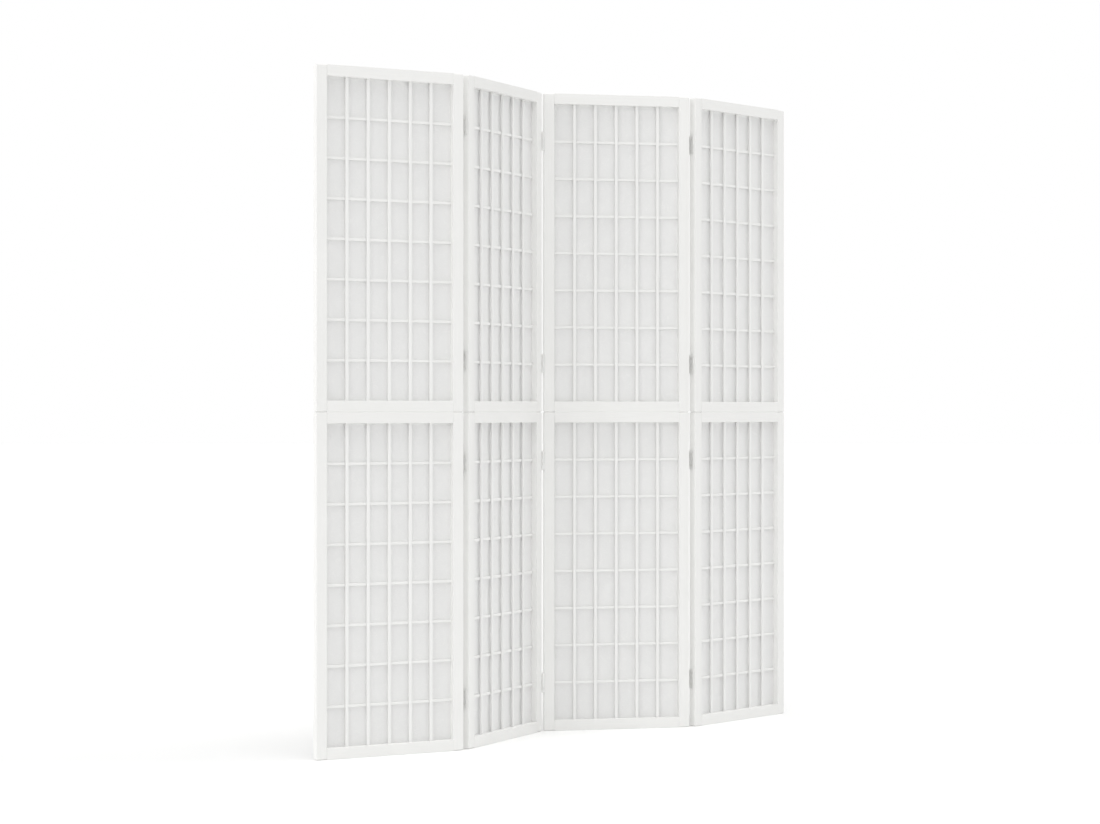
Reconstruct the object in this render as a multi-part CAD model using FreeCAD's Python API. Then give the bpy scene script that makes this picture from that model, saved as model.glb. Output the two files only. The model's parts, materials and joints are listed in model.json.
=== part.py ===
import FreeCAD, Part
import math
import os

# Folding room divider of four panels on three hinge lines.
# A panel is an upper and a lower half frame, doweled together. Each half holds a lattice of two layers,
# uprights in front and cross bars behind, and a sheet of paper that beads press into a recess at the back.
# Row frame: X runs along the screen from left to right, Y away from the front, Z up from the floor.
# A panel is drawn with its lower left front corner at zero, and then stands at its own heading.

Vector = FreeCAD.Vector
UP = Vector(0, 0, 1)

# Half frames
PANEL_WIDTH = 400.0
HALF_HEIGHT = 850.0
STILE_WIDTH = 28.0
RAIL_HEIGHT = 28.0
EDGE_EASE = 0.8
STILE_END_CHAMFER = 3.0

# Lattice, from the front of the frame towards the paper
LATTICE_SETBACK = 8.5
UPRIGHT_COUNT = 5
UPRIGHT_WIDTH = 8.0
UPRIGHT_DEPTH = 4.5
CROSS_COUNT = 7
CROSS_HEIGHT = 7.0
CROSS_DEPTH = 4.0
BAR_EASE = 0.5
SOCKET_DEPTH = 5.0
SOCKET_CLEARANCE = 0.1

# Paper, and the beads that hold its margin
PAPER_THICKNESS = 0.4
PAPER_CLEARANCE = 0.5
BEAD_WIDTH = 6.0
BEAD_THICKNESS = 2.6
BEAD_CHAMFER = 1.0
BEAD_CLEARANCE = 0.1

# Stub tenons of the rails
TENON_LENGTH = 8.0
TENON_THICKNESS = 6.0
TENON_SHOULDER = 4.0
TENON_CLEARANCE = 0.1

# Dowels that join the two halves of a panel
DOWEL_DIAMETER = 7.0
DOWEL_LENGTH = 40.0
DOWEL_CHAMFER = 1.0
DOWEL_CLEARANCE = 0.1

# Butt hinges, screwed to the edges of the stiles
HINGE_LENGTH = 50.0
HINGE_INSET = 129.0
KNUCKLE_COUNT = 5
KNUCKLE_DIAMETER = 6.0
KNUCKLE_GAP = 0.3
LEAF_WIDTH = 13.0
LEAF_THICKNESS = 1.4
LEAF_CORNER = 2.0
PIN_DIAMETER = 3.0
PIN_CLEARANCE = 0.05
PIN_HEAD_DIAMETER = 4.8
PIN_HEAD_HEIGHT = 0.8

# Countersunk screws of the hinges
SCREW_SPACING = 30.0
SCREW_LENGTH = 14.0
SCREW_DIAMETER = 2.8
SCREW_HEAD_DIAMETER = 5.6
SCREW_TIP = 3.0
SCREW_CLEARANCE = 0.05
CROSS_RECESS_LENGTH = 3.2
CROSS_RECESS_WIDTH = 0.7
CROSS_RECESS_DEPTH = 0.7

# How far a cut runs past the face that it opens, and the degrees of a whole turn
OVERRUN = 1.0
FULL_TURN = 360.0

# Headings of the panels as the screen stands, in degrees from X, and the face that carries each hinge line
HEADINGS = (-9.4, 25.0, -25.7, 10.1)
HINGE_FACES = ("back", "front", "back")

# Sizes that follow from those above
CROSS_FRONT = LATTICE_SETBACK + UPRIGHT_DEPTH
PAPER_FRONT = CROSS_FRONT + CROSS_DEPTH
BEAD_FRONT = PAPER_FRONT + PAPER_THICKNESS
FRAME_DEPTH = BEAD_FRONT + BEAD_THICKNESS
OPENING_RIGHT = PANEL_WIDTH - STILE_WIDTH
OPENING_TOP = HALF_HEIGHT - RAIL_HEIGHT
KNUCKLE_RADIUS = KNUCKLE_DIAMETER / 2
AXIS_BACK = FRAME_DEPTH + KNUCKLE_RADIUS
HALF_FLOORS = {"lower": 0.0, "upper": HALF_HEIGHT}


def block(low, high):
    """A box between two corners."""
    size = high - low
    return Part.makeBox(size.x, size.y, size.z, low)


def prism(outline, along):
    """A straight solid with the given outline."""
    return Part.Face(Part.makePolygon(outline + outline[:1])).extrude(along)


def turned(profile, base, direction):
    """A round solid from its profile, given as radius and distance from the base."""
    points = [Vector(radius, 0, distance) for radius, distance in profile]
    solid = Part.Face(Part.makePolygon(points + points[:1])).revolve(Vector(0, 0, 0), UP, FULL_TURN)
    solid.Placement = FreeCAD.Placement(base, FreeCAD.Rotation(UP, direction))
    return solid


def bevelled(width, height, bevel):
    """The corners of an upright rectangle with its four corners cut off."""
    return [
        (bevel, 0.0), (width - bevel, 0.0), (width, bevel), (width, height - bevel),
        (width - bevel, height), (bevel, height), (0.0, height - bevel), (0.0, bevel),
    ]


def flip_x(shape):
    """The same piece on the other side of the panel."""
    return shape.mirror(Vector(PANEL_WIDTH / 2, 0, 0), Vector(1, 0, 0))


def flip_y(shape):
    """The same piece on the other face of the panel."""
    return shape.mirror(Vector(0, FRAME_DEPTH / 2, 0), Vector(0, 1, 0))


def flip_half(shape, floor):
    """The same piece at the other end of its half frame."""
    return shape.mirror(Vector(0, 0, floor + HALF_HEIGHT / 2), UP)


def upright_places():
    """Centre lines of the uprights along X."""
    pitch = (OPENING_RIGHT - STILE_WIDTH) / (UPRIGHT_COUNT + 1)
    return [STILE_WIDTH + pitch * (number + 1) for number in range(UPRIGHT_COUNT)]


def cross_places(floor):
    """Centre lines of the cross bars along Z."""
    pitch = (OPENING_TOP - RAIL_HEIGHT) / (CROSS_COUNT + 1)
    return [floor + RAIL_HEIGHT + pitch * (number + 1) for number in range(CROSS_COUNT)]


def paper_recess(floor):
    """The recess at the back of a half frame, round its opening."""
    low = Vector(STILE_WIDTH - BEAD_WIDTH, PAPER_FRONT, floor + RAIL_HEIGHT - BEAD_WIDTH)
    high = Vector(OPENING_RIGHT + BEAD_WIDTH, FRAME_DEPTH + OVERRUN, floor + OPENING_TOP + BEAD_WIDTH)
    return block(low, high)


def tenon_bar(floor, spare):
    """The tongue that runs through the lower rail of a half, with spare room round it for the mortises."""
    front = (PAPER_FRONT - TENON_THICKNESS) / 2
    end = STILE_WIDTH - TENON_LENGTH
    low = Vector(end - spare, front - spare, floor + TENON_SHOULDER - spare)
    high = Vector(
        PANEL_WIDTH - end + spare,
        front + TENON_THICKNESS + spare,
        floor + RAIL_HEIGHT - TENON_SHOULDER + spare,
    )
    return block(low, high)


def upright_bar(place, floor, spare):
    """One upright, from socket to socket, with spare room round it for the sockets."""
    side = UPRIGHT_WIDTH / 2 + spare
    end = RAIL_HEIGHT - SOCKET_DEPTH + SOCKET_CLEARANCE - spare
    outline = [
        Vector(place - side + x, LATTICE_SETBACK - spare + y, floor + end)
        for x, y in bevelled(2 * side, UPRIGHT_DEPTH + 2 * spare, BAR_EASE)
    ]
    return prism(outline, UP * (HALF_HEIGHT - 2 * end))


def cross_bar(place, spare):
    """One cross bar, from socket to socket, with spare room round it for the sockets."""
    side = CROSS_HEIGHT / 2 + spare
    end = STILE_WIDTH - SOCKET_DEPTH + SOCKET_CLEARANCE - spare
    outline = [
        Vector(end, CROSS_FRONT - spare + y, place - side + z)
        for y, z in bevelled(CROSS_DEPTH + 2 * spare, 2 * side, BAR_EASE)
    ]
    return prism(outline, Vector(PANEL_WIDTH - 2 * end, 0, 0))


def upright_bars():
    """Both halves' uprights, the front layer of the lattice."""
    return [upright_bar(place, floor, 0.0) for floor in HALF_FLOORS.values() for place in upright_places()]


def cross_bars():
    """Both halves' cross bars, the layer that touches the paper."""
    return [cross_bar(place, 0.0) for floor in HALF_FLOORS.values() for place in cross_places(floor)]


def paper_sheets():
    """The paper behind the lattice, one sheet in each half."""
    margin = BEAD_WIDTH - PAPER_CLEARANCE
    sheets = []
    for floor in HALF_FLOORS.values():
        low = Vector(STILE_WIDTH - margin, PAPER_FRONT, floor + RAIL_HEIGHT - margin)
        high = Vector(OPENING_RIGHT + margin, BEAD_FRONT, floor + OPENING_TOP + margin)
        sheets.append(block(low, high))
    return sheets


def bead_outline():
    """Section of a bead from its outer edge inwards: across, and from the paper to the back."""
    width = BEAD_WIDTH - BEAD_CLEARANCE
    return [
        (0.0, 0.0), (width, 0.0), (width, BEAD_THICKNESS - BEAD_CHAMFER),
        (width - BEAD_CHAMFER, BEAD_THICKNESS), (0.0, BEAD_THICKNESS),
    ]


def back_beads():
    """Two long and two short beads over the margin of each sheet of paper."""
    outer = BEAD_WIDTH - BEAD_CLEARANCE
    beads = []
    for floor in HALF_FLOORS.values():
        foot = floor + RAIL_HEIGHT - outer
        long_outline = [Vector(STILE_WIDTH - outer + x, BEAD_FRONT + y, foot) for x, y in bead_outline()]
        long_bead = prism(long_outline, UP * (HALF_HEIGHT - 2 * (RAIL_HEIGHT - outer)))
        start = STILE_WIDTH + BEAD_CLEARANCE
        short_outline = [Vector(start, BEAD_FRONT + y, foot + x) for x, y in bead_outline()]
        short_bead = prism(short_outline, Vector(PANEL_WIDTH - 2 * start, 0, 0))
        beads += [long_bead, flip_x(long_bead), short_bead, flip_half(short_bead, floor)]
    return beads


def rail(floor, end):
    """One rail with its tenons, at the bottom or the top of a half frame."""
    outline = [
        Vector(STILE_WIDTH, y, floor + z)
        for y, z in bevelled(FRAME_DEPTH, RAIL_HEIGHT, EDGE_EASE)
    ]
    solid = prism(outline, Vector(OPENING_RIGHT - STILE_WIDTH, 0, 0))
    solid = solid.fuse(tenon_bar(floor, 0.0)).removeSplitter()
    if end == "top":
        solid = flip_half(solid, floor)
    sockets = [upright_bar(place, floor, SOCKET_CLEARANCE) for place in upright_places()]
    return solid.cut([paper_recess(floor)] + sockets)


def dowel_place(floor):
    """Middle of the dowel hole of a left stile, beside the tenon, at the seam between the halves."""
    return Vector((STILE_WIDTH - TENON_LENGTH) / 2, FRAME_DEPTH / 2, floor)


def dowel(spare):
    """One joining dowel across the seam, with spare room round it for its hole."""
    radius = DOWEL_DIAMETER / 2 + spare
    length = DOWEL_LENGTH + 2 * spare
    profile = [
        (0.0, 0.0), (radius - DOWEL_CHAMFER, 0.0), (radius, DOWEL_CHAMFER),
        (radius, length - DOWEL_CHAMFER), (radius - DOWEL_CHAMFER, length), (0.0, length),
    ]
    return turned(profile, dowel_place(HALF_HEIGHT - length / 2), UP)


def joining_dowels():
    """The two dowels of a panel."""
    return [dowel(0.0), flip_x(dowel(0.0))]


def hinge_heights(floor):
    """Middle heights of the two hinges of a half frame."""
    return [floor + HINGE_INSET, floor + HALF_HEIGHT - HINGE_INSET]


def screw_places(height):
    """Where the screws of a left edge leaf at the back enter, on the face of the leaf."""
    across = FRAME_DEPTH - LEAF_WIDTH / 2
    return [Vector(-LEAF_THICKNESS, across, height + side * SCREW_SPACING / 2) for side in (-1, 1)]


def screw_blank(place, spare):
    """A countersunk screw without its recess, with spare room round it for its hole."""
    head = SCREW_HEAD_DIAMETER / 2 + spare
    shank = SCREW_DIAMETER / 2 + spare
    length = SCREW_LENGTH + spare
    profile = [(0.0, 0.0), (head, 0.0), (shank, LEAF_THICKNESS), (shank, length - SCREW_TIP), (0.0, length)]
    return turned(profile, place, Vector(1, 0, 0))


def screw(place):
    """A countersunk screw with a cross recess."""
    solid = screw_blank(place, 0.0)
    reach = CROSS_RECESS_LENGTH / 2
    side = CROSS_RECESS_WIDTH / 2
    for across, up in ((reach, side), (side, reach)):
        low = place - Vector(OVERRUN, across, up)
        high = place + Vector(CROSS_RECESS_DEPTH, across, up)
        solid = solid.cut(block(low, high))
    return solid


def stile(floor, hinge_face):
    """A left stile: chamfered ends, mortises, bar sockets, a dowel hole and the holes of its hinge screws."""
    plan = [Vector(x, y, floor) for x, y in bevelled(STILE_WIDTH, FRAME_DEPTH, EDGE_EASE)]
    side = [Vector(0, y, floor + z) for y, z in bevelled(FRAME_DEPTH, HALF_HEIGHT, STILE_END_CHAMFER)]
    # twice as wide as the stile, so that only the corners of its outer edge are cut
    outer_wide = bevelled(2 * STILE_WIDTH, HALF_HEIGHT, STILE_END_CHAMFER)
    outer = [Vector(x, 0, floor + z) for x, z in outer_wide]
    solid = prism(plan, UP * HALF_HEIGHT)
    solid = solid.common(prism(side, Vector(STILE_WIDTH, 0, 0)))
    solid = solid.common(prism(outer, Vector(0, FRAME_DEPTH, 0)))
    mortise = tenon_bar(floor, TENON_CLEARANCE)
    cutters = [paper_recess(floor), mortise, flip_half(mortise, floor), dowel(DOWEL_CLEARANCE)]
    cutters += [cross_bar(place, SOCKET_CLEARANCE) for place in cross_places(floor)]
    for height in hinge_heights(floor) if hinge_face else []:
        holes = [screw_blank(place, SCREW_CLEARANCE) for place in screw_places(height)]
        cutters += [flip_y(hole) for hole in holes] if hinge_face == "front" else holes
    return solid.cut(cutters)


def knuckle(low, high):
    """One rolled knuckle and the strip that joins it to its leaf."""
    inner = KNUCKLE_RADIUS - LEAF_THICKNESS
    rise = math.sqrt(KNUCKLE_RADIUS ** 2 - inner ** 2)
    middle = Vector(-KNUCKLE_RADIUS, AXIS_BACK, low)
    start = middle + Vector(KNUCKLE_RADIUS, 0, 0)
    end = middle + Vector(inner, -rise, 0)
    half_turn = (2 * math.pi - math.atan2(rise, inner)) / 2
    crown = middle + Vector(math.cos(half_turn), math.sin(half_turn), 0) * KNUCKLE_RADIUS
    root = FRAME_DEPTH - LEAF_THICKNESS
    root_inner = Vector(-LEAF_THICKNESS, root, low)
    root_outer = Vector(0, root, low)
    edges = [
        Part.Arc(start, crown, end).toShape(),
        Part.makeLine(end, root_inner),
        Part.makeLine(root_inner, root_outer),
        Part.makeLine(root_outer, start),
    ]
    return Part.Face(Part.Wire(edges)).extrude(UP * (high - low))


def leaf_plate(height):
    """The flat of a leaf on a left edge, with its two free corners rounded."""
    low = Vector(-LEAF_THICKNESS, FRAME_DEPTH - LEAF_WIDTH, height - HINGE_LENGTH / 2 + KNUCKLE_GAP / 2)
    high = Vector(0, FRAME_DEPTH, height + HINGE_LENGTH / 2 - KNUCKLE_GAP / 2)
    plate = block(low, high)
    corners = [
        edge for edge in plate.Edges
        if math.isclose(edge.BoundBox.YMax, low.y) and edge.BoundBox.ZLength < edge.BoundBox.XLength
    ]
    return plate.makeFillet(LEAF_CORNER, corners)


def hinge_leaf(height, first_knuckle):
    """One leaf on a left edge at the back, with every second knuckle from the first one given."""
    step = HINGE_LENGTH / KNUCKLE_COUNT
    foot = height - HINGE_LENGTH / 2
    knuckles = [
        knuckle(foot + step * number + KNUCKLE_GAP / 2, foot + step * (number + 1) - KNUCKLE_GAP / 2)
        for number in range(first_knuckle, KNUCKLE_COUNT, 2)
    ]
    solid = leaf_plate(height).fuse(knuckles).removeSplitter()
    bore = Part.makeCylinder(
        PIN_DIAMETER / 2 + PIN_CLEARANCE,
        HINGE_LENGTH + 2 * OVERRUN,
        Vector(-KNUCKLE_RADIUS, AXIS_BACK, foot - OVERRUN),
    )
    holes = [screw_blank(place, SCREW_CLEARANCE) for place in screw_places(height)]
    return solid.cut([bore] + holes)


def hinge_pin(height):
    """One hinge pin of a left edge at the back, with a head at each end."""
    length = HINGE_LENGTH - KNUCKLE_GAP
    radius = PIN_DIAMETER / 2
    head = PIN_HEAD_DIAMETER / 2
    top = length + PIN_HEAD_HEIGHT
    profile = [
        (0.0, -PIN_HEAD_HEIGHT), (head, -PIN_HEAD_HEIGHT), (head, 0.0), (radius, 0.0),
        (radius, length), (head, length), (head, top), (0.0, top),
    ]
    return turned(profile, Vector(-KNUCKLE_RADIUS, AXIS_BACK, height - length / 2), UP)


def set_on_edge(shape, edge, face):
    """A hinge piece drawn on a left edge at the back, on the edge and face where it belongs."""
    if face == "front":
        shape = flip_y(shape)
    return flip_x(shape) if edge == "right" else shape


def edge_faces(number):
    """The hinge faces of a panel's edges, for those of its edges that carry hinges."""
    faces = {}
    if number > 0:
        faces["left"] = HINGE_FACES[number - 1]
    if number < len(HINGE_FACES):
        faces["right"] = HINGE_FACES[number]
    return faces


def all_hinge_heights():
    """Middle heights of the hinges along one hinge line."""
    return [height for floor in HALF_FLOORS.values() for height in hinge_heights(floor)]


def hinge_leaves(faces):
    """All leaves of a panel. Leaves on a right edge have the outer knuckles."""
    first = {"left": 1, "right": 0}
    return [
        set_on_edge(hinge_leaf(height, first[edge]), edge, face)
        for edge, face in faces.items() for height in all_hinge_heights()
    ]


def hinge_screws(faces):
    """All hinge screws of a panel."""
    return [
        set_on_edge(screw(place), edge, face)
        for edge, face in faces.items() for height in all_hinge_heights() for place in screw_places(height)
    ]


def hinge_pins(face):
    """The pins of the hinge line on a panel's right edge."""
    return [set_on_edge(hinge_pin(height), "right", face) for height in all_hinge_heights()]


def panel_pieces(number):
    """Every piece of one panel by name, drawn where the panel's own corner is zero."""
    faces = edge_faces(number)
    pieces = {}
    for half, floor in HALF_FLOORS.items():
        pieces[half + "_left_stile"] = [stile(floor, faces.get("left"))]
        pieces[half + "_right_stile"] = [flip_x(stile(floor, faces.get("right")))]
    lower, upper = HALF_FLOORS["lower"], HALF_FLOORS["upper"]
    pieces["bottom_rail"] = [rail(lower, "bottom")]
    pieces["middle_rails"] = [rail(lower, "top"), rail(upper, "bottom")]
    pieces["top_rail"] = [rail(upper, "top")]
    pieces["upright_bars"] = upright_bars()
    pieces["cross_bars"] = cross_bars()
    pieces["paper_sheets"] = paper_sheets()
    pieces["back_beads"] = back_beads()
    pieces["joining_dowels"] = joining_dowels()
    pieces["hinge_leaves"] = hinge_leaves(faces)
    pieces["hinge_screws"] = hinge_screws(faces)
    if "right" in faces:
        pieces["hinge_pins"] = hinge_pins(faces["right"])
    return pieces


def hinge_axis(edge, face):
    """The foot of a hinge line beside one edge of a panel."""
    across = PANEL_WIDTH + KNUCKLE_RADIUS if edge == "right" else -KNUCKLE_RADIUS
    return Vector(across, AXIS_BACK if face == "back" else -KNUCKLE_RADIUS, 0)


def panel_places():
    """Where each panel stands. Neighbours share a hinge line, and the whole screen is centred on zero."""
    places = [FreeCAD.Placement(Vector(0, 0, 0), FreeCAD.Rotation(UP, HEADINGS[0]))]
    for heading, face in zip(HEADINGS[1:], HINGE_FACES):
        turn = FreeCAD.Rotation(UP, heading)
        line = places[-1].multVec(hinge_axis("right", face))
        places.append(FreeCAD.Placement(line - turn.multVec(hinge_axis("left", face)), turn))
    corners = [
        place.multVec(Vector(x, y, 0))
        for place in places for x in (0.0, PANEL_WIDTH) for y in (0.0, FRAME_DEPTH)
    ]
    across = [corner.x for corner in corners]
    away = [corner.y for corner in corners]
    centre = Vector(min(across) + max(across), min(away) + max(away), 0) / 2
    for place in places:
        place.Base = place.Base - centre
    return places


def export_screen():
    """Writes every piece of the four panels where it stands."""
    os.makedirs("parts", exist_ok=True)
    places = panel_places()
    for number, place in enumerate(places):
        for name, solids in panel_pieces(number).items():
            shape = Part.makeCompound(solids) if len(solids) > 1 else solids[0]
            shape.Placement = place.multiply(shape.Placement)
            shape.exportStep("parts/panel_{}_{}.step".format(number + 1, name))
    for number, face in enumerate(HINGE_FACES):
        line = places[number].multVec(hinge_axis("right", face))
        print("hinge line {} at x {:.4f}, y {:.4f}".format(number + 1, line.x, line.y))


export_screen()
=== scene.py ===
import json
import math

import bpy
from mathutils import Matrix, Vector, noise

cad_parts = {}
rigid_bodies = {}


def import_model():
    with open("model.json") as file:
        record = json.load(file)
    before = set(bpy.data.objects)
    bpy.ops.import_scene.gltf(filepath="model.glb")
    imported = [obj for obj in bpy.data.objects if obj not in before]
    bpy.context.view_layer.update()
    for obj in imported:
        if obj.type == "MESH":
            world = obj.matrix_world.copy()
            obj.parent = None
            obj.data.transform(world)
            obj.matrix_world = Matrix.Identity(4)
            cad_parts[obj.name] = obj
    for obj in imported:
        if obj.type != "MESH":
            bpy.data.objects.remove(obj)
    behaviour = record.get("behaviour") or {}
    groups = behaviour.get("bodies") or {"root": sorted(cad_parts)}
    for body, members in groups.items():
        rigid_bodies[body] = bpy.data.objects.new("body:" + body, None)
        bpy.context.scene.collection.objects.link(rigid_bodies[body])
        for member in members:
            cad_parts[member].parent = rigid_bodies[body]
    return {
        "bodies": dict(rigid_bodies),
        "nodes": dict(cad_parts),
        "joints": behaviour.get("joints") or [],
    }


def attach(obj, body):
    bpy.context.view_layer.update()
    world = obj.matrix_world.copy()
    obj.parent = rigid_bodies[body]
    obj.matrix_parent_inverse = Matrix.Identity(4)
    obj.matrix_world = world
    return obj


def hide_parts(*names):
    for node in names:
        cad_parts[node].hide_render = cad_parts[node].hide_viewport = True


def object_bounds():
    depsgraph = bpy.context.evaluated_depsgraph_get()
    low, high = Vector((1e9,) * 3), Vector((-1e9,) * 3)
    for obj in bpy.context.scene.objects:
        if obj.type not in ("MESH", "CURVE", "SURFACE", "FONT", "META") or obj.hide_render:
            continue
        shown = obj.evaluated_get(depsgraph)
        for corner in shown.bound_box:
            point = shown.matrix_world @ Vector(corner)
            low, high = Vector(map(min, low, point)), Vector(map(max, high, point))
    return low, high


# Folding room divider: its finishes, its paper, the camera and the light, round the fixed frame.
# Lengths are in metres and angles in degrees, unless a name says otherwise.

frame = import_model()
cad_low, cad_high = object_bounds()
PANELS = sorted(frame["bodies"])
MIDDLE_HEIGHT = (cad_low.z + cad_high.z) / 2

# Camera: where its line of sight points, seen from above, and where the middle hinge line lies from it
IMAGE_WIDTH_PIXELS = 1100
FOCAL_PIXELS = 2490
SENSOR_WIDTH_MM = 36.0
SIGHT_FROM_Y = 37.93
HINGE_LINE_DEPTH = 6.629
HINGE_LINE_LEFT = 0.0178
FAR_CLIP = 200.0

# Light: an even white dome and five wide soft lights. An azimuth turns from +X towards +Y
DOME_LIGHT = 0.52
BACKDROP_LIGHT = 1.0
WHITE = (1, 1, 1, 1)
LEFT_AZIMUTH = 180.0
LEFT_ELEVATION = 18.0
LEFT_SPREAD = 60.0
LEFT_STRENGTH = 0.85
FRONT_AZIMUTH = 230.0
FRONT_ELEVATION = 35.0
FRONT_SPREAD = 24.0
FRONT_STRENGTH = 0.30
RIGHT_AZIMUTH = 335.0
RIGHT_ELEVATION = 35.0
RIGHT_SPREAD = 24.0
RIGHT_STRENGTH = 0.50
BACK_AZIMUTH = 115.0
BACK_ELEVATION = 20.0
BACK_SPREAD = 60.0
BACK_STRENGTH = 0.40
TOP_AZIMUTH = 250.0
TOP_ELEVATION = 80.0
TOP_SPREAD = 40.0
TOP_STRENGTH = 1.20

# Noise: its usual detail, its middle value, and the part of its range that a tint spans
CLOUD_DETAIL = 4.0
CLOUD_MIDDLE = 0.5
TINT_SHARES = (0.3, 0.7)

# Floor
FLOOR_RADIUS = 60.0
FLOOR_SIDES = 64
FLOOR_PALE = (0.95, 0.95, 0.945, 1)
FLOOR_DEEP = (0.94, 0.94, 0.935, 1)
FLOOR_CLOUD_SIZE = 0.7
FLOOR_GRAIN_SIZE = 0.004
FLOOR_GRAIN_DEPTH = 0.0002
FLOOR_ROUGHNESS = 0.7

# Paint over wood: the grain that shows through it, its fine skin, and slow changes of tone
FRAME_PAINT_LIGHT = (0.855, 0.854, 0.840, 1)
FRAME_PAINT_DARK = (0.825, 0.824, 0.809, 1)
LATTICE_PAINT_LIGHT = (0.865, 0.864, 0.854, 1)
LATTICE_PAINT_DARK = (0.835, 0.834, 0.823, 1)
GRAIN_SIZE = 0.0026
GRAIN_LENGTH_SHARE = 0.035
GRAIN_DEPTH = 0.00010
GRAIN_WANDER = 0.4
SKIN_SIZE = 0.0012
SKIN_DEPTH = 0.00003
SKIN_DETAIL = 2.0
SKIN_SHARES = (0.25, 0.75)
TONE_SIZE = 0.16
TONE_DETAIL = 3.0
PAINT_TINT_SHARES = (0.1, 0.4)
PAINT_ROUGHNESS_LOW = 0.40
PAINT_ROUGHNESS_HIGH = 0.56

# Paper: fibres at two scales, a fine tooth, and slack that rises from the bars and sides
PAPER_LIGHT = (0.865, 0.865, 0.859, 1)
PAPER_DARK = (0.846, 0.846, 0.840, 1)
PAPER_FIBRE = (0.887, 0.886, 0.878, 1)
PAPER_PASS_SHARE = 0.08
PAPER_ROUGHNESS = 0.9
PAPER_CLOUD_SIZE = 0.035
PAPER_CLOUD_DETAIL = 6.0
LONG_FIBRE_SIZE = 0.030
LONG_FIBRE_SHARE = 0.012
SHORT_FIBRE_SIZE = 0.011
SHORT_FIBRE_SHARE = 0.018
FIBRE_DEPTH = 0.00004
FIBRE_DETAIL = 1.5
FIBRE_WANDER = 1.2
TOOTH_SIZE = 0.0009
TOOTH_DEPTH = 0.00003
TOOTH_DETAIL = 3.0
PAPER_MESH_SPACING = 0.007
PAPER_SLACK = 0.0013
SIDE_RISE = 2.0
PAPER_WAVE_SHARE = 0.2
PAPER_WAVE_SIZE = 0.085
HELD_MARGIN = 0.0065
BAR_SPLIT = 0.02

# Metal and bare wood
HINGE_LIGHT = (0.90, 0.90, 0.89, 1)
HINGE_DARK = (0.82, 0.82, 0.81, 1)
SCREW_LIGHT = (0.86, 0.86, 0.84, 1)
SCREW_DARK = (0.78, 0.78, 0.76, 1)
PIN_LIGHT = (0.84, 0.84, 0.83, 1)
PIN_DARK = (0.76, 0.76, 0.75, 1)
METAL_ROUGHNESS_LOW = 0.34
METAL_ROUGHNESS_HIGH = 0.50
METAL_SHARE = 0.65
STREAK_SIZE = 0.0005
STREAK_LENGTH_SHARE = 0.05
STREAK_DEPTH = 0.000012
STAIN_SIZE = 0.012
STAIN_SHARES = (0.3, 0.7)
DOWEL_LIGHT = (0.68, 0.50, 0.32, 1)
DOWEL_DARK = (0.52, 0.35, 0.20, 1)
DOWEL_WANDER = 0.6
DOWEL_GRAIN_SHARES = (0.3, 0.7)
DOWEL_ROUGHNESS_LOW = 0.60
DOWEL_ROUGHNESS_HIGH = 0.75


def add(tree, kind, **inputs):
    """A new node. An input is linked if it is another node's output, and set if it is a plain value."""
    made = tree.nodes.new("ShaderNode" + kind)
    for name, value in inputs.items():
        socket = made.inputs[name.replace("_", " ")]
        if isinstance(value, bpy.types.NodeSocket):
            tree.links.new(value, socket)
        else:
            socket.default_value = value
    return made


def new_material(name):
    """A node material, with its tree and its Principled shader."""
    material = bpy.data.materials.new(name)
    material.use_nodes = True
    return material, material.node_tree, material.node_tree.nodes["Principled BSDF"]


def place_in(tree, heading=0.0, stretch=(1, 1, 1)):
    """Object coordinates, turned to a panel's heading and stretched along its grain."""
    coordinates = add(tree, "TexCoord").outputs["Object"]
    turned = add(tree, "Mapping", Vector=coordinates, Rotation=(0, 0, -heading)).outputs["Vector"]
    return add(tree, "Mapping", Vector=turned, Scale=stretch).outputs["Vector"]


def cloud(tree, place, size, detail=CLOUD_DETAIL, distortion=0.0):
    """Noise from 0 to 1 with features of about the given size."""
    return add(
        tree, "TexNoise", Vector=place, Scale=1 / size, Detail=detail, Distortion=distortion
    ).outputs["Fac"]


def between(tree, factor, shares, first, last):
    """A number that goes from first to last while the factor crosses the shares, and is held outside."""
    made = add(tree, "MapRange", Value=factor)
    low, high = shares
    for name, value in {"From Min": low, "From Max": high, "To Min": first, "To Max": last}.items():
        made.inputs[name].default_value = value
    return made.outputs["Result"]


def tint(tree, factor, first, last, shares=TINT_SHARES):
    """A colour that goes from first to last while the factor crosses the shares."""
    ramp = add(tree, "ValToRGB", Fac=factor)
    start, end = ramp.color_ramp.elements
    start.position, end.position = shares
    start.color = first
    end.color = last
    return ramp.outputs["Color"]


def bump(tree, height, depth, under=None):
    """The normal of a surface that rises by depth where height is 1, over the relief given as under."""
    made = add(tree, "Bump", Height=height, Distance=depth)
    if under:
        tree.links.new(under, made.inputs["Normal"])
    return made.outputs["Normal"]


def mixed(tree, factor, first, last):
    """One colour, and the other where the factor is 1."""
    made = tree.nodes.new("ShaderNodeMix")
    made.data_type = "RGBA"
    colours = [socket for socket in made.inputs if socket.type == "RGBA"]
    for socket, value in zip([made.inputs["Factor"]] + colours, (factor, first, last)):
        if isinstance(value, bpy.types.NodeSocket):
            tree.links.new(value, socket)
        else:
            socket.default_value = value
    return next(socket for socket in made.outputs if socket.type == "RGBA")


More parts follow.
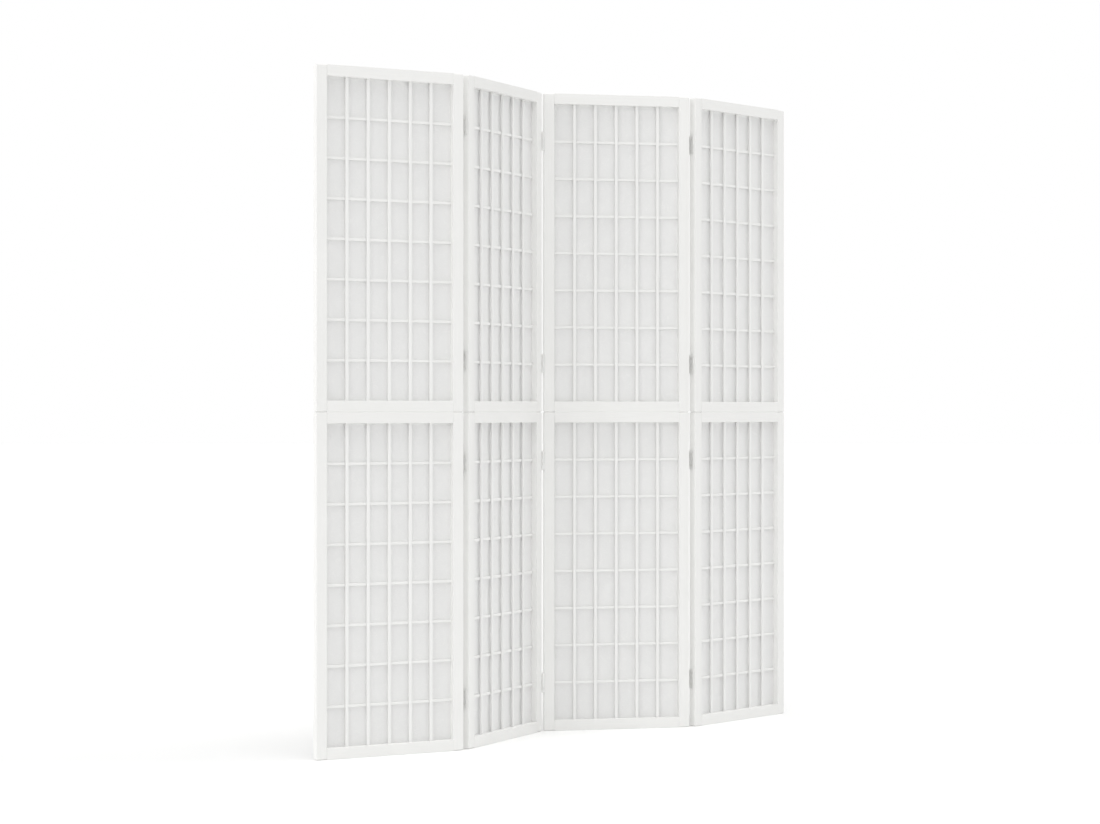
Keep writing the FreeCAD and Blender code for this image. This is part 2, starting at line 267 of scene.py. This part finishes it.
def painted_wood(name, light, dark, heading, stretch):
    """Satin white paint, thin enough for the grain to show as faint ridges."""
    material, tree, shader = new_material(name)
    even = place_in(tree)
    grain = cloud(tree, place_in(tree, heading, stretch), GRAIN_SIZE, distortion=GRAIN_WANDER)
    skin = cloud(tree, even, SKIN_SIZE, detail=SKIN_DETAIL)
    tone = cloud(tree, even, TONE_SIZE, detail=TONE_DETAIL)
    streaked = add(tree, "Math", Value=grain)
    streaked.operation = "MULTIPLY"
    tree.links.new(tone, streaked.inputs[1])
    colour = tint(tree, streaked.outputs[0], dark, light, PAINT_TINT_SHARES)
    tree.links.new(colour, shader.inputs["Base Color"])
    roughness = between(tree, skin, SKIN_SHARES, PAINT_ROUGHNESS_LOW, PAINT_ROUGHNESS_HIGH)
    tree.links.new(roughness, shader.inputs["Roughness"])
    ridges = bump(tree, grain, GRAIN_DEPTH)
    tree.links.new(bump(tree, skin, SKIN_DEPTH, ridges), shader.inputs["Normal"])
    return material


def fibres(tree, place, size, width_share):
    """1 along thin wandering threads and 0 between them."""
    wander = cloud(tree, place, size, detail=FIBRE_DETAIL, distortion=FIBRE_WANDER)
    off = add(tree, "Math", Value=wander)
    off.operation = "SUBTRACT"
    off.inputs[1].default_value = CLOUD_MIDDLE
    distance = add(tree, "Math", Value=off.outputs[0])
    distance.operation = "ABSOLUTE"
    return between(tree, distance.outputs[0], (0.0, width_share), 1.0, 0.0)


def paper_finish():
    """Matt fibre paper that lets part of the light through."""
    material, tree, shader = new_material("paper_fibre")
    place = place_in(tree)
    patches = cloud(tree, place, PAPER_CLOUD_SIZE, detail=PAPER_CLOUD_DETAIL)
    body = tint(tree, patches, PAPER_DARK, PAPER_LIGHT)
    long_threads = fibres(tree, place, LONG_FIBRE_SIZE, LONG_FIBRE_SHARE)
    short_threads = fibres(tree, place, SHORT_FIBRE_SIZE, SHORT_FIBRE_SHARE)
    threads = add(tree, "Math", Value=long_threads)
    threads.operation = "MAXIMUM"
    tree.links.new(short_threads, threads.inputs[1])
    colour = mixed(tree, threads.outputs[0], body, PAPER_FIBRE)
    relief = bump(tree, threads.outputs[0], FIBRE_DEPTH)
    tooth = cloud(tree, place, TOOTH_SIZE, detail=TOOTH_DETAIL)
    normal = bump(tree, tooth, TOOTH_DEPTH, relief)
    tree.links.new(colour, shader.inputs["Base Color"])
    tree.links.new(normal, shader.inputs["Normal"])
    shader.inputs["Roughness"].default_value = PAPER_ROUGHNESS
    passing = add(tree, "BsdfTranslucent", Color=colour, Normal=normal)
    both = add(tree, "MixShader", Fac=PAPER_PASS_SHARE)
    tree.links.new(shader.outputs["BSDF"], both.inputs[1])
    tree.links.new(passing.outputs["BSDF"], both.inputs[2])
    tree.links.new(both.outputs["Shader"], tree.nodes["Material Output"].inputs["Surface"])
    return material


def plated_steel(name, light, dark):
    """Rolled and plated steel with fine streaks along its height and a few dull patches."""
    material, tree, shader = new_material(name)
    streaks = cloud(tree, place_in(tree, stretch=(1, 1, STREAK_LENGTH_SHARE)), STREAK_SIZE)
    stains = cloud(tree, place_in(tree), STAIN_SIZE)
    shader.inputs["Metallic"].default_value = METAL_SHARE
    tree.links.new(tint(tree, stains, dark, light), shader.inputs["Base Color"])
    roughness = between(tree, stains, STAIN_SHARES, METAL_ROUGHNESS_HIGH, METAL_ROUGHNESS_LOW)
    tree.links.new(roughness, shader.inputs["Roughness"])
    tree.links.new(bump(tree, streaks, STREAK_DEPTH), shader.inputs["Normal"])
    return material


def bare_wood(name, light, dark):
    """Unpainted hardwood with its grain upright."""
    material, tree, shader = new_material(name)
    along = place_in(tree, stretch=(1, 1, GRAIN_LENGTH_SHARE))
    grain = cloud(tree, along, GRAIN_SIZE, distortion=DOWEL_WANDER)
    tree.links.new(tint(tree, grain, dark, light), shader.inputs["Base Color"])
    roughness = between(tree, grain, DOWEL_GRAIN_SHARES, DOWEL_ROUGHNESS_HIGH, DOWEL_ROUGHNESS_LOW)
    tree.links.new(roughness, shader.inputs["Roughness"])
    tree.links.new(bump(tree, grain, GRAIN_DEPTH), shader.inputs["Normal"])
    return material


def floor_finish():
    """A plain pale floor with a fine grain."""
    material, tree, shader = new_material("pale_floor")
    place = place_in(tree)
    tone = tint(tree, cloud(tree, place, FLOOR_CLOUD_SIZE), FLOOR_DEEP, FLOOR_PALE)
    tree.links.new(tone, shader.inputs["Base Color"])
    grain = cloud(tree, place, FLOOR_GRAIN_SIZE)
    tree.links.new(bump(tree, grain, FLOOR_GRAIN_DEPTH), shader.inputs["Normal"])
    shader.inputs["Roughness"].default_value = FLOOR_ROUGHNESS
    return material


def middle(points):
    """The mean of some points."""
    return sum(points, Vector()) / len(points)


def ends(points):
    """The left and the right end of an upright slab, each in the middle of its thickness."""
    by_x = sorted(points, key=lambda point: point.x)
    half = len(by_x) // 2
    return middle(by_x[:half]), middle(by_x[half:])


def corners(node):
    """The corners of a node's mesh."""
    return [vertex.co for vertex in frame["nodes"][node].data.vertices]


def panel_heading(panel):
    """How far a panel is turned from X, in radians."""
    left, right = ends(corners(panel + "_paper_sheets"))
    return math.atan2(right.y - left.y, right.x - left.x)


def bands(heights, split):
    """Lowest and highest of each group of heights, where groups lie at least split apart."""
    found = []
    for height in sorted(heights):
        if found and height - found[-1][1] < split:
            found[-1][1] = height
        else:
            found.append([height, height])
    return found


def slack_at(height, held):
    """0 where the paper is held, 1 half way between two places that hold it."""
    for (_, below), (above, _) in zip(held, held[1:]):
        if below < height < above:
            return math.sin(math.pi * (height - below) / (above - below))
    return 0.0


def sheet_points(slab, held, layer, columns, rows):
    """The points of one side of a sheet, row by row: layer 0 is its front and layer 1 its back."""
    left, right = ends(slab)
    low = min(point.z for point in slab)
    high = max(point.z for point in slab)
    along = Vector((right.x - left.x, right.y - left.y, 0))
    width = along.length
    along.normalize()
    back = Vector((-along.y, along.x, 0))
    reach = [(point - left).dot(back) for point in slab]
    face = max(reach) if layer else min(reach)
    edges = [[0.0, HELD_MARGIN], [width - HELD_MARGIN, width]]
    points = []
    for row in range(rows + 1):
        height = low + (high - low) * row / rows
        for column in range(columns + 1):
            across = width * column / columns
            place = Vector((left.x, left.y, 0)) + along * across
            wave = 1 + PAPER_WAVE_SHARE * noise.noise(Vector((place.x, place.y, height)) / PAPER_WAVE_SIZE)
            slack = slack_at(height, held) * min(1.0, SIDE_RISE * slack_at(across, edges)) * wave
            points.append(place + back * (face + PAPER_SLACK * slack) + Vector((0, 0, height)))
    return points


def sheet_faces(columns, rows):
    """Front, back and rim faces of a closed sheet whose back points follow its front points."""
    wide = columns + 1
    behind = wide * (rows + 1)
    faces = []
    for row in range(rows):
        for column in range(columns):
            corner = row * wide + column
            quad = [corner, corner + 1, corner + wide + 1, corner + wide]
            faces.append(quad)
            faces.append([point + behind for point in reversed(quad)])
    around = list(range(wide))
    around += [row * wide + columns for row in range(1, rows + 1)]
    around += [rows * wide + column for column in reversed(range(columns))]
    around += [row * wide for row in reversed(range(1, rows))]
    for first, second in zip(around, around[1:] + around[:1]):
        faces.append([first, first + behind, second + behind, second])
    return faces


def paper_sheet(panel, half, slab, finish):
    """One sheet of paper, held by the beads at its margin and by the cross bars, and slack between them."""
    low = min(point.z for point in slab)
    high = max(point.z for point in slab)
    bar_heights = [point.z for point in corners(panel + "_cross_bars") if low < point.z < high]
    held = [[low, low + HELD_MARGIN], *bands(bar_heights, BAR_SPLIT), [high - HELD_MARGIN, high]]
    left, right = ends(slab)
    width = Vector((right.x - left.x, right.y - left.y)).length
    columns = round(width / PAPER_MESH_SPACING)
    rows = round((high - low) / PAPER_MESH_SPACING)
    points = [point for layer in (0, 1) for point in sheet_points(slab, held, layer, columns, rows)]
    mesh = bpy.data.meshes.new("{}_{}_paper".format(panel, half))
    mesh.from_pydata(points, [], sheet_faces(columns, rows))
    mesh.shade_smooth()
    mesh.materials.append(finish)
    sheet = bpy.data.objects.new(mesh.name, mesh)
    bpy.context.collection.objects.link(sheet)
    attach(sheet, panel)
    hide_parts(panel + "_paper_sheets")


def hang_paper():
    """The eight sheets, two in each panel."""
    finish = paper_finish()
    for panel in PANELS:
        slabs = corners(panel + "_paper_sheets")
        lower = [point for point in slabs if point.z < MIDDLE_HEIGHT]
        upper = [point for point in slabs if point.z > MIDDLE_HEIGHT]
        paper_sheet(panel, "lower", lower, finish)
        paper_sheet(panel, "upper", upper, finish)


def dress(node, material):
    """Gives a node of the frame its finish."""
    for slot in frame["nodes"][node].material_slots:
        slot.material = material


def dress_frame():
    """Finishes of everything but the paper. The grain of each piece runs along it."""
    upright = (1, 1, GRAIN_LENGTH_SHARE)
    level = (GRAIN_LENGTH_SHARE, 1, 1)
    frame_paint = (FRAME_PAINT_LIGHT, FRAME_PAINT_DARK)
    lattice_paint = (LATTICE_PAINT_LIGHT, LATTICE_PAINT_DARK)
    finishes = {
        "stile": painted_wood("stile_paint", *frame_paint, 0.0, upright),
        "upright_bars": painted_wood("upright_bar_paint", *lattice_paint, 0.0, upright),
        "back_beads": painted_wood("bead_paint", *lattice_paint, 0.0, upright),
        "joining_dowels": bare_wood("dowel_wood", DOWEL_LIGHT, DOWEL_DARK),
        "hinge_leaves": plated_steel("hinge_steel", HINGE_LIGHT, HINGE_DARK),
        "hinge_screws": plated_steel("screw_steel", SCREW_LIGHT, SCREW_DARK),
        "hinge_pins": plated_steel("pin_steel", PIN_LIGHT, PIN_DARK),
    }
    for panel in PANELS:
        heading = panel_heading(panel)
        rail_paint = painted_wood(panel + "_rail_paint", *frame_paint, heading, level)
        bar_paint = painted_wood(panel + "_cross_bar_paint", *lattice_paint, heading, level)
        level_finishes = {"rail": rail_paint, "rails": rail_paint, "cross_bars": bar_paint}
        for node in frame["nodes"]:
            for ending, material in {**finishes, **level_finishes}.items():
                if node.startswith(panel) and node.endswith("_" + ending):
                    dress(node, material)


def aim(thing, target):
    """Turns a light or camera towards a point."""
    thing.rotation_euler = (target - thing.location).to_track_quat("-Z", "Y").to_euler()


def soft_light(name, azimuth, elevation, spread, strength):
    """A soft light from far away, as wide in the sky as its spread."""
    data = bpy.data.lights.new(name, "SUN")
    data.angle = math.radians(spread)
    data.energy = strength
    light = bpy.data.objects.new(name, data)
    turn = math.radians(azimuth)
    rise = math.radians(elevation)
    level = math.cos(rise)
    light.location = Vector((math.cos(turn) * level, math.sin(turn) * level, math.sin(rise)))
    aim(light, Vector())
    bpy.context.collection.objects.link(light)


def light_dome():
    """An even white dome, with a pure white backdrop where the camera looks past the object."""
    world = bpy.data.worlds.new("studio")
    world.use_nodes = True
    bpy.context.scene.world = world
    tree = world.node_tree
    dome = add(tree, "Background", Strength=DOME_LIGHT)
    backdrop = add(tree, "Background", Strength=BACKDROP_LIGHT)
    for light in (dome, backdrop):
        light.inputs["Color"].default_value = WHITE
    both = add(tree, "MixShader", Fac=add(tree, "LightPath").outputs["Is Camera Ray"])
    tree.links.new(dome.outputs["Background"], both.inputs[1])
    tree.links.new(backdrop.outputs["Background"], both.inputs[2])
    tree.links.new(both.outputs["Shader"], tree.nodes["World Output"].inputs["Surface"])


def lay_floor():
    """A wide round floor under the screen."""
    mesh = bpy.data.meshes.new("floor")
    turns = [2 * math.pi * number / FLOOR_SIDES for number in range(FLOOR_SIDES)]
    rim = [(FLOOR_RADIUS * math.cos(turn), FLOOR_RADIUS * math.sin(turn), cad_low.z) for turn in turns]
    mesh.from_pydata(rim, [], [range(FLOOR_SIDES)])
    mesh.materials.append(floor_finish())
    floor = bpy.data.objects.new("floor", mesh)
    bpy.context.collection.objects.link(floor)


def set_camera():
    """The photograph's camera: level, at half the screen's height."""
    data = bpy.data.cameras.new("camera")
    data.sensor_fit = "HORIZONTAL"
    data.sensor_width = SENSOR_WIDTH_MM
    data.lens = SENSOR_WIDTH_MM * FOCAL_PIXELS / IMAGE_WIDTH_PIXELS
    data.clip_end = FAR_CLIP
    camera = bpy.data.objects.new("camera", data)
    turn = math.radians(SIGHT_FROM_Y)
    ahead = Vector((math.sin(turn), math.cos(turn), 0))
    right = Vector((math.cos(turn), -math.sin(turn), 0))
    hinge = next(joint for joint in frame["joints"] if joint["name"] == "middle_fold")
    line = Vector((*hinge["pos_m"][:2], MIDDLE_HEIGHT))
    camera.location = line - ahead * HINGE_LINE_DEPTH + right * HINGE_LINE_LEFT
    aim(camera, camera.location + ahead)
    bpy.context.collection.objects.link(camera)
    bpy.context.scene.camera = camera


def set_tones():
    """Shows light as it is, so that white paint stays white."""
    bpy.context.scene.view_settings.view_transform = "Standard"


dress_frame()
hang_paper()
lay_floor()
light_dome()
soft_light("left_light", LEFT_AZIMUTH, LEFT_ELEVATION, LEFT_SPREAD, LEFT_STRENGTH)
soft_light("front_light", FRONT_AZIMUTH, FRONT_ELEVATION, FRONT_SPREAD, FRONT_STRENGTH)
soft_light("right_light", RIGHT_AZIMUTH, RIGHT_ELEVATION, RIGHT_SPREAD, RIGHT_STRENGTH)
soft_light("back_light", BACK_AZIMUTH, BACK_ELEVATION, BACK_SPREAD, BACK_STRENGTH)
soft_light("top_light", TOP_AZIMUTH, TOP_ELEVATION, TOP_SPREAD, TOP_STRENGTH)
set_camera()
set_tones()
